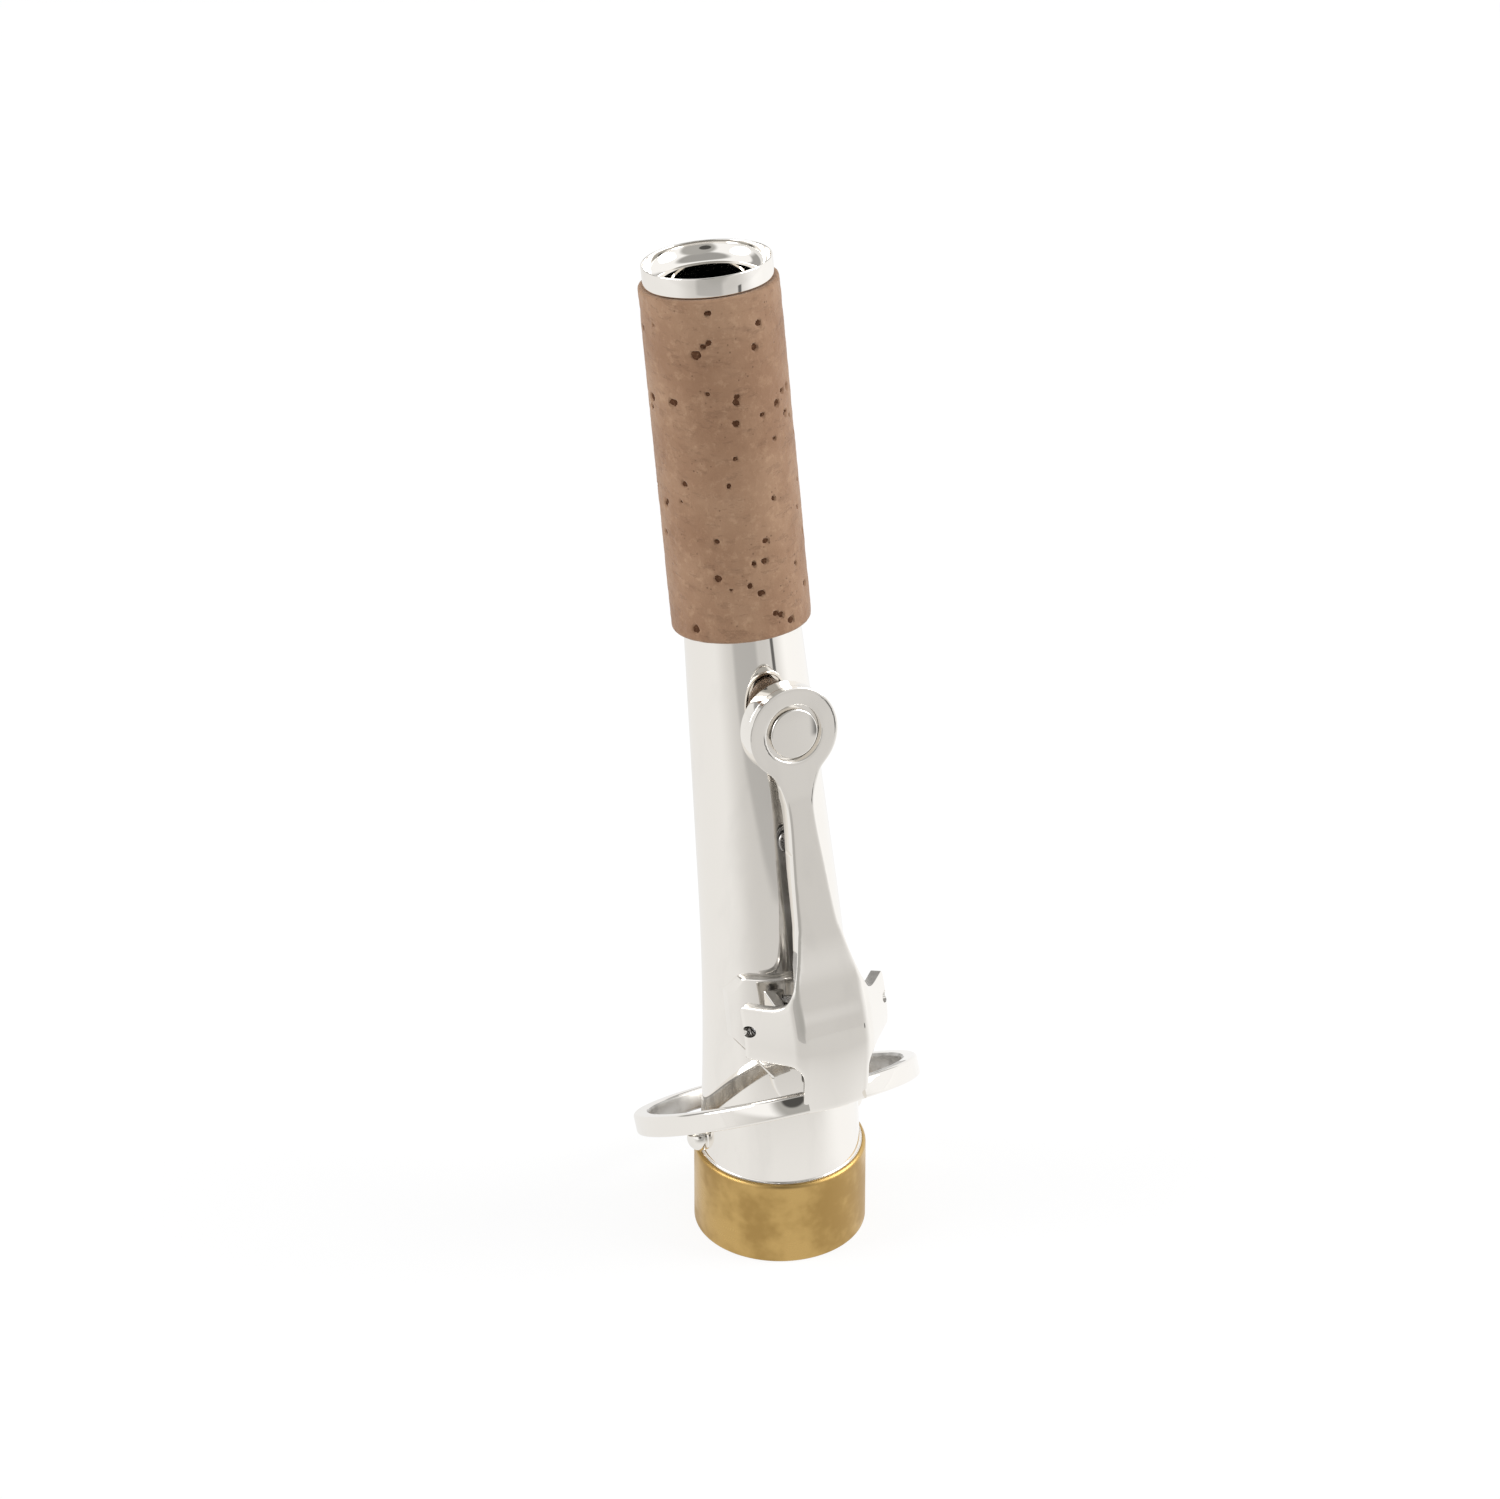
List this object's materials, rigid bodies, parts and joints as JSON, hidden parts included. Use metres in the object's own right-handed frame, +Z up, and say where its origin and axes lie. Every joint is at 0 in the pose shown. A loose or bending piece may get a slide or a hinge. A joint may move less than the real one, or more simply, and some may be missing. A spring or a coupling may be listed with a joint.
{
  "type": "soprano saxophone neck",
  "caption": "Detachable neck of a soprano saxophone: silvered conical tube with cork, brass tenon and a sprung octave key whose tilted ring lifts the vent pad.",
  "frame": {"origin": "centre of the tenon's lower end face", "axes": "+Z up along the tenon's axis, -Y towards the octave key, +X to the right seen from the key's side"},
  "size_m": [0.0296, 0.0386, 0.1072],
  "materials": {
    "silver_plate": "polished silver plate on brass",
    "brass": "worn satin",
    "cork": "matte natural cork",
    "steel": "bright",
    "blued_steel": "blued",
    "pad_skin": "matte"
  },
  "bodies": {
    "neck": {"neck_tube": "silver_plate", "tenon": "brass", "cork_sleeve": "cork", "tip_ring": "silver_plate", "octave_pip": "silver_plate", "key_saddle": "silver_plate", "hinge_rod": "steel", "left_stud": "silver_plate", "right_stud": "silver_plate"},
    "octave_key": {"key_arm": "silver_plate", "pad_cup": "silver_plate", "octave_pad": "pad_skin", "hinge_bridge": "silver_plate", "octave_ring": "silver_plate", "flat_spring": "blued_steel", "spring_screw": "steel"}
  },
  "joints": [
    {"name": "octave_key_hinge", "type": "hinge", "parent": "neck", "child": "octave_key", "pos_m": [0, -0.00886, 0.03067], "axis": [1, 0, 0], "range_deg": [0, 5], "stiffness_Nm_per_rad": 0.05, "springref_deg": -11.46, "deforming": ["flat_spring"]}
  ]
}
